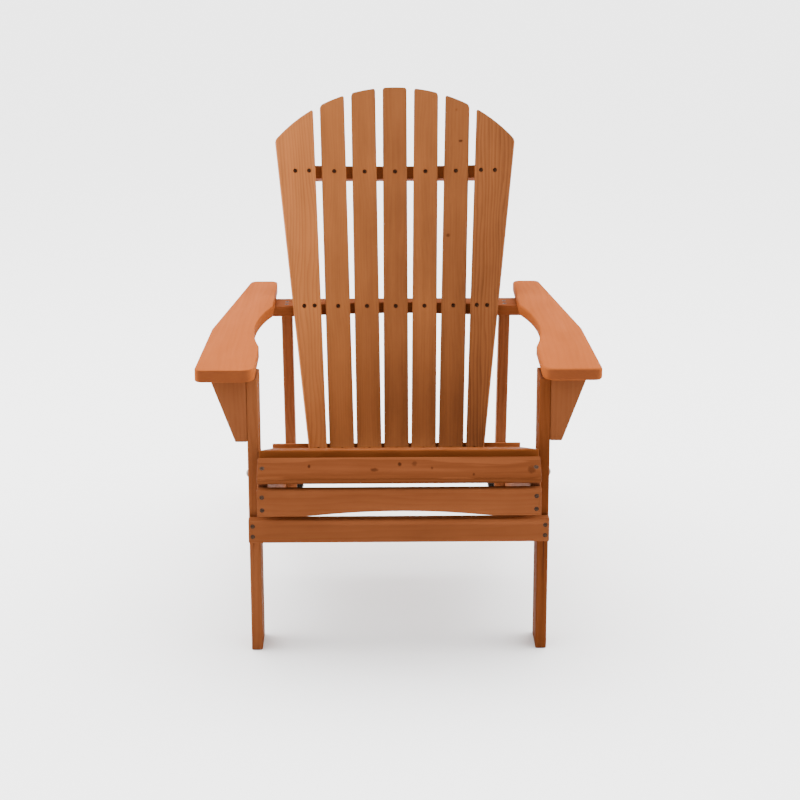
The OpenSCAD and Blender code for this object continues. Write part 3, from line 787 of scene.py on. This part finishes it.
back_knots = [
    (on_back(0.140, 0.648), 0.0034, 0.6, 0.8),
    (on_back(0.112, 0.447), 0.0042, 0.7, 0.6),
    (on_back(0.131, 0.715), 0.0030, 0.9, 0.3),
]
back_wood = wood(
    "Back slat wood", (0.318, 0.107, 0.032), (0.107, 0.036, 0.013), rings=0.05, streaks=0.3,
    knots=back_knots,
)
side_wood = wood(
    "Side slat wood", (0.330, 0.111, 0.034), (0.107, 0.036, 0.013), rings=0.2, width=0.007,
    streaks=0.4,
)
back_screws = fixings("back_slat_screws")
back = grow(
    "wood.back_slats", fan_back_tree(), Slats_each_side=SLATS_EACH_SIDE, Width=BACK_SLAT_W,
    Thickness=SLAT_T, Pitch=SLAT_PITCH, Fan=math.tan(FAN_TURN), Hollow_radius=HOLLOW_R,
    Pitch_level=PITCH_LEVEL, Foot=-SLAT_T, Side_width=SIDE_FOOT_W, Side_flare=SIDE_FLARE,
    Side_place=SIDE_SLAT_X, Crown_radius=CROWN_R, Crown_height=CROWN_H, Corner=TOP_CORNER,
    Wood=back_wood,
)
ease_edges(back.data, BACK_SLAT_EASE)
back.data.transform(back_place)
drill(back, back_screws, BACK_HOLE_DEPTH)
smooth(back.data)

# the slat that each point belongs to, counted from the middle one, and its turn in the fan
to_back = back_place.inverted()
back_points = np.array([(to_back @ v.co)[:] for v in back.data.vertices])
spread = 1 + (back_points[:, 2] - PITCH_LEVEL) * math.tan(FAN_TURN) / SLAT_PITCH
which = np.round(back_points[:, 0] / SLAT_PITCH / spread)
which = np.clip(which, -SLATS_EACH_SIDE, SLATS_EACH_SIDE)
turns = which * FAN_TURN
grain_up = np.outer(np.sin(turns), ACROSS) + np.outer(np.cos(turns), up_back)
grain_side = np.outer(np.cos(turns), ACROSS) - np.outer(np.sin(turns), up_back)
# from the palest slat on the left to the darker ones in the middle and on the right
slat_tones = np.array([-0.6, 1.0, 1.6, 2.2, 1.8, 2.3, 2.0])
tones = slat_tones[which.astype(int) + SLATS_EACH_SIDE]
lay_grain(back.data, grain_up, grain_side, number=BACK_BOARD + which, tones=tones)
# the outer two are sawn from a wood with clearer rings; the painted shade in their holes stays
back.data.materials.append(side_wood)
inner_slot, outer_slot = (back.data.materials.find(m.name) for m in (back_wood, side_wood))
for face in back.data.polygons:
    if face.material_index == inner_slot and abs(which[face.vertices[0]]) == SLATS_EACH_SIDE:
        face.material_index = outer_slot
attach(back, "root")
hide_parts(*[f"back_slat_{k + 1}" for k in range(2 * SLATS_EACH_SIDE + 1)])

# ---- Arms and their brackets ------------------------------------------------
# Wide arms with a waist on the inner edge and a narrow tail on the middle rail. A tapered
# bracket under each is fixed to the outer face of the leg.

ARM_EASE = 0.0045
BRACKET_EASE = 0.0015
arm_wood = wood(
    "Arm wood", (0.255, 0.064, 0.014), (0.165, 0.039, 0.009), rings=0.08, streaks=0.45,
    clouds=0.6,
)
for node in ("arm_left", "arm_right"):
    worked_board(node, arm_wood, BACK, ACROSS, ARM_EASE)
bracket_wood = wood(
    "Bracket wood", (0.182, 0.058, 0.021), (0.090, 0.027, 0.009), rings=0.1, streaks=0.35
)
for node in ("bracket_left", "bracket_right"):
    worked_board(node, bracket_wood, UP, ACROSS, BRACKET_EASE)

# ---- Screws -----------------------------------------------------------------
# Countersunk screws with a cross recess. Those of the slats sit a little below the wood, those
# of the front boards are flush.

HEAD_R = 0.0043
HEAD_H = 0.003
RECESS = 0.0012


def metal(name, light, dark, roughness):
    """Worn steel, from its light and dark tones."""
    material = bpy.data.materials.new(name)
    material.use_nodes = True
    tree = material.node_tree
    here = joined(tree, "ShaderNodeTexCoord").outputs["Object"]
    wear = noise(tree, here, 380.0, 4.0, 0.65)
    colour = mixed(tree, band(tree, wear, 0.35, 0.68), (*light, 1), (*dark, 1))
    rough = band(tree, wear, 0.3, 0.7, roughness - 0.1, roughness + 0.15)
    bump = joined(tree, "ShaderNodeBump", Height=wear, Strength=0.15, Distance=0.0002)
    wire(
        tree, tree.nodes["Principled BSDF"], Base_Color=colour, Roughness=rough,
        Normal=bump.outputs[0], Metallic=0.85,
    )
    return material


def screw_tree():
    """Tree: a countersunk head with a cross recess at each point."""
    tree, takes, gives = geometry_tree(
        "Cross-head screws",
        [("Geometry", "NodeSocketGeometry", None), ("Head radius", "NodeSocketFloat", 0.0043),
         ("Head height", "NodeSocketFloat", 0.003), ("Slot width", "NodeSocketFloat", 0.0012),
         ("Slot depth", "NodeSocketFloat", 0.0012), ("Metal", "NodeSocketMaterial", None)],
    )
    value = amounts(tree, takes)
    radius, height, narrow = value["Head radius"], value["Head height"], value["Slot width"]
    head = joined(
        tree, "GeometryNodeMeshCone", Vertices=24, Radius_Top=radius,
        Radius_Bottom=radius * 0.5, Depth=height,
    )
    # the top of the head is at the point, and each bar of the cross is sunk into it
    drop = joined(tree, "ShaderNodeCombineXYZ", Z=height * -1.0)
    head = joined(
        tree, "GeometryNodeTransform", Geometry=head.outputs[0], Translation=drop.outputs[0]
    )
    long_side, deep = radius * 1.25, value["Slot depth"] * 2.0
    for wide, tall in ((long_side, narrow), (narrow, long_side)):
        size = joined(tree, "ShaderNodeCombineXYZ", X=wide, Y=tall, Z=deep)
        bar = joined(tree, "GeometryNodeMeshCube", Size=size.outputs[0])
        settings = {"operation": "DIFFERENCE", "solver": "EXACT"}
        head = joined(
            tree, "GeometryNodeMeshBoolean", settings, _0=head.outputs[0], _1=bar.outputs[0]
        )
    screws = copies_along_aim(tree, value["Geometry"], head.outputs[0])
    return given_out(tree, gives, screws, value["Metal"])


SCREW = screw_tree()
dark_steel = metal("Dark screw steel", (0.050, 0.024, 0.012), (0.016, 0.007, 0.003), 0.5)
brown_steel = metal("Oiled screw steel", (0.085, 0.034, 0.012), (0.028, 0.010, 0.004), 0.5)
for node, spots, finish in (
    ("back_slat_screws", back_screws, brown_steel),
    ("seat_slat_screws", seat_screws, dark_steel),
    ("front_board_screws", fixings("front_board_screws"), dark_steel),
):
    screws = grow(
        "metal." + node, SCREW, points_of(node, spots), Head_radius=HEAD_R, Head_height=HEAD_H,
        Slot_width=RECESS, Slot_depth=RECESS, Metal=finish,
    )
    smooth(screws.data)
    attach(screws, "root")
    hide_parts(node)


def finish_node(node, material):
    """Puts a finish on a CAD node whose shape is right as it is."""
    for place in bpy.data.objects[node].material_slots:
        place.material = material


black_steel = metal("Black steel", (0.012, 0.008, 0.005), (0.004, 0.003, 0.002), 0.55)
for node in ("bracket_screws", "rail_screws", "arm_screws"):
    finish_node(node, black_steel)

# ---- Bolts and dowels -------------------------------------------------------
# Four round-headed bolts with washers and black cap nuts hold the legs and posts to the
# stringers, and dowels in the leg tops hold the arms.

bolt_steel = metal("Bolt steel", (0.16, 0.13, 0.11), (0.07, 0.055, 0.045), 0.38)
for node, finish in (("bolts", bolt_steel), ("washers", bolt_steel), ("cap_nuts", black_steel)):
    finish_node(node, finish)
# the dowels take the darker wood that paints the shade in the holes
finish_node("arm_dowels", hole_shade_wood)

# ---- Floor, light and camera ------------------------------------------------
# A plain pale floor under a studio sky that is bright above and behind, with soft lights from
# both sides and above. The camera stands in front of the chair and looks down a little.

FLOOR = 30.0
SKY_DIM, SKY_BRIGHT = 0.4, 5.6
scene = bpy.context.scene
corners = [(-FLOOR, -FLOOR, 0), (FLOOR, -FLOOR, 0), (FLOOR, FLOOR, 0), (-FLOOR, FLOOR, 0)]
floor_mesh = bpy.data.meshes.new("floor")
floor_mesh.from_pydata(corners, [], [(0, 1, 2, 3)])
floor = bpy.data.objects.new("floor", floor_mesh)
scene.collection.objects.link(floor)
floor_paint = bpy.data.materials.new("Pale floor")
floor_paint.use_nodes = True
paint = floor_paint.node_tree
wire(paint, paint.nodes["Principled BSDF"], Base_Color=(0.86, 0.86, 0.86, 1), Roughness=0.9)
floor_mesh.materials.append(floor_paint)

world = bpy.data.worlds.new("Studio")
world.use_nodes = True
sky = world.node_tree
toward = joined(sky, "ShaderNodeTexCoord").outputs["Generated"]
aside, behind, above = parts(sky, toward)
overhead = above + behind * 0.5 + aside.to("ABSOLUTE") * 0.65
strength = band(sky, overhead, 0.4, 1.15, SKY_DIM, SKY_BRIGHT)
wire(sky, sky.nodes["Background"], Color=(1, 1, 1, 1), Strength=strength)
scene.world = world
middle = (cad_box[0] + cad_box[1]) / 2


def soft_light(name, place, size, power):
    """A square soft box at a place, turned to the middle of the chair."""
    lamp = bpy.data.lights.new(name, "AREA")
    lamp.size, lamp.energy = size, power
    holder = bpy.data.objects.new(name, lamp)
    holder.location = place
    holder.rotation_euler = (middle - Vector(place)).to_track_quat("-Z", "Y").to_euler()
    scene.collection.objects.link(holder)


soft_light("Left box", (-3.2, 0.0, 1.6), 2.0, 90)
soft_light("Right box", (3.2, 0.0, 1.6), 2.0, 70)
soft_light("Top box", (0.0, 1.0, 3.4), 2.4, 90)

camera_data = bpy.data.cameras.new("Camera")
camera_data.sensor_width = 36.0
camera_data.lens = 85.5
camera_data.shift_y = -0.1293
camera_data.clip_end = 100.0
camera = bpy.data.objects.new("Camera", camera_data)
camera.location = (-0.0368, -3.744, 1.560)
camera.rotation_euler = (math.radians(90 - 14.49), math.radians(0.09), math.radians(-0.70))
scene.collection.objects.link(camera)
scene.camera = camera
